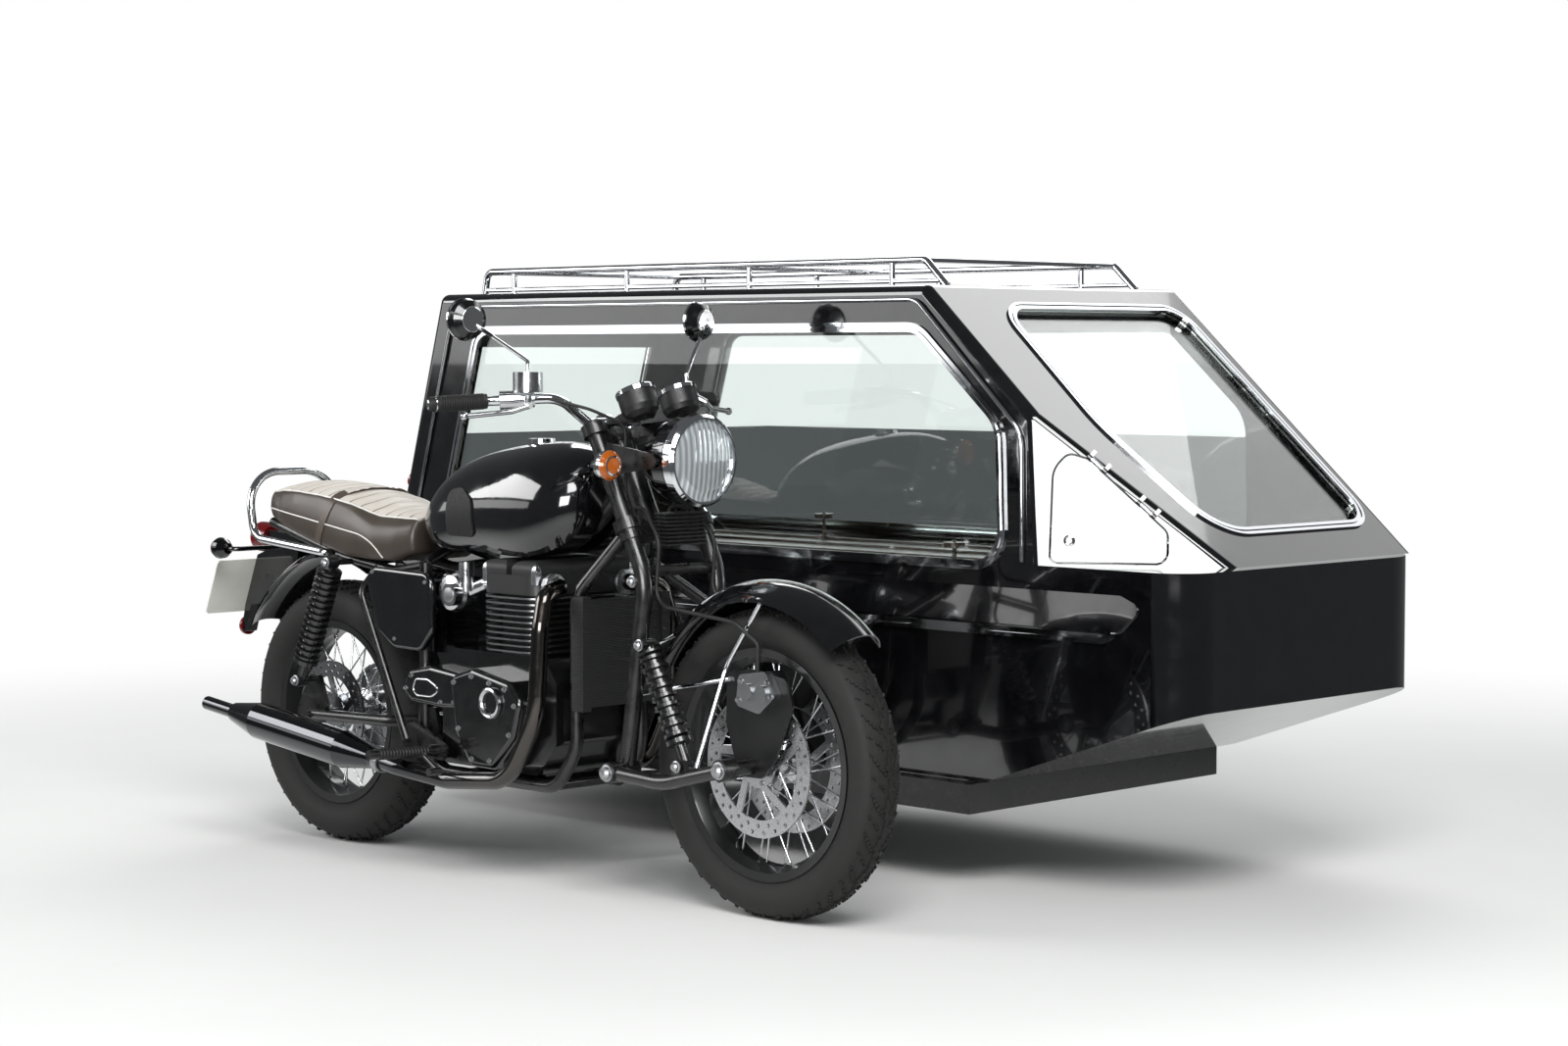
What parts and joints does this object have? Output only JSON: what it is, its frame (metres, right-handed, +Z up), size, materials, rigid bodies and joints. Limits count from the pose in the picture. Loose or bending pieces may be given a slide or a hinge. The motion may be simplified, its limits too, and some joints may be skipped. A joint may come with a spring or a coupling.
{
  "type": "sidecar motorcycle",
  "caption": "Twin-cylinder motorcycle with leading-link forks, coupled to a long glass-sided sidecar body with a raised deck, a roof rack and a rear door.",
  "frame": {"origin": "on the ground under the middle of the outfit's bounding box", "axes": "+X forward, +Y to the left towards the sidecar, +Z up"},
  "size_m": [2.735, 1.9579, 1.4349],
  "materials": {
    "black_paint": "gloss black coachwork paint",
    "black_engine_paint": "satin black heat-proof paint",
    "polished_aluminium": "polished",
    "chrome": "bright chrome plate",
    "black_chrome": "black chrome plate",
    "steel": "ground steel",
    "matte_black": "matt black",
    "rubber": "moulded rubber",
    "tyre": "road tyre rubber",
    "seat_leather": "grey-brown vinyl with sewn channels",
    "glass": "clear glass",
    "lamp_glass": "moulded lamp glass",
    "amber_lens": "amber lens in a bright body",
    "red_lens": "red lens",
    "plate_white": "blank plate",
    "wheel_paint": "silver paint",
    "deck_board": "varnished dark board with bright strips"
  },
  "bodies": {
    "outfit": {"main_frame": "black_paint", "engine_case": "black_engine_paint", "cylinders": "black_engine_paint", "radiator": "matte_black", "fuel_tank": "black_paint", "seat": "seat_leather", "side_panels": "black_paint", "throttle_bodies": "polished_aluminium", "exhaust_headers": "black_chrome", "silencers": "black_chrome", "swingarm": "black_paint", "rear_shocks": "black_paint", "rear_mudguard": "black_paint", "grab_rail": "chrome", "rear_lamps": "red_lens", "number_plate": "plate_white", "foot_controls": "rubber", "drive_chain": "steel", "sidecar_chassis": "black_paint", "sidecar_lower_body": "black_paint", "sidecar_upper_body": "black_paint", "side_windows": "glass", "windscreen": "glass", "chrome_trims": "chrome", "roof_rails": "chrome", "coffin_deck": "deck_board", "knee_pads": "rubber", "sidecar_lamps": "red_lens"},
    "fork": {"steering_fork": "black_paint", "leading_links": "black_paint", "front_shocks": "black_paint", "front_mudguard": "black_paint", "mudguard_stays": "chrome", "brake_calipers": "matte_black", "torque_arms": "chrome", "headlamp_shell": "black_paint", "headlamp_rim": "chrome", "headlamp_lens": "lamp_glass", "instruments": "matte_black", "handlebar": "chrome", "hand_grips": "rubber", "hand_levers": "polished_aluminium", "mirrors": "chrome", "front_indicators": "amber_lens", "finned_regulator": "matte_black", "fork_hoses": "rubber", "control_cables": "rubber"},
    "front_wheel": {"front_tyre": "tyre", "front_wheel_rim": "chrome", "front_brake_discs": "steel"},
    "rear_wheel": {"rear_tyre": "tyre", "rear_wheel_rim": "chrome"},
    "sidecar_wheel": {"sidecar_tyre": "tyre", "sidecar_wheel_rim": "wheel_paint"},
    "door": {"rear_door": "black_paint", "rear_door_glass": "glass"},
    "hatch": {"nose_hatch": "black_paint"}
  },
  "joints": [
    {"name": "steering", "type": "hinge", "parent": "outfit", "child": "fork", "pos_m": [0.313, -0.541, 0.823], "axis": [-0.454, 0, 0.891], "range_deg": [-30, 30]},
    {"name": "front_wheel_spin", "type": "hinge", "parent": "fork", "child": "front_wheel", "pos_m": [0.708, -0.541, 0.3315], "axis": [0, 1, 0], "continuous": true},
    {"name": "rear_wheel_spin", "type": "hinge", "parent": "outfit", "child": "rear_wheel", "pos_m": [-0.782, -0.541, 0.321], "axis": [0, 1, 0], "continuous": true},
    {"name": "sidecar_wheel_spin", "type": "hinge", "parent": "outfit", "child": "sidecar_wheel", "pos_m": [-0.577, 0.859, 0.3], "axis": [0, 1, 0], "continuous": true},
    {"name": "rear_door_lift", "type": "hinge", "parent": "outfit", "child": "door", "pos_m": [-1.171, 0.499, 1.303], "axis": [0, 1, 0], "range_deg": [0, 95]},
    {"name": "hatch_swing", "type": "hinge", "parent": "outfit", "child": "hatch", "pos_m": [1.0638, 0.10231, 0.96482], "axis": [-0.6354, -0.3836, 0.6702], "range_deg": [0, 100]}
  ]
}
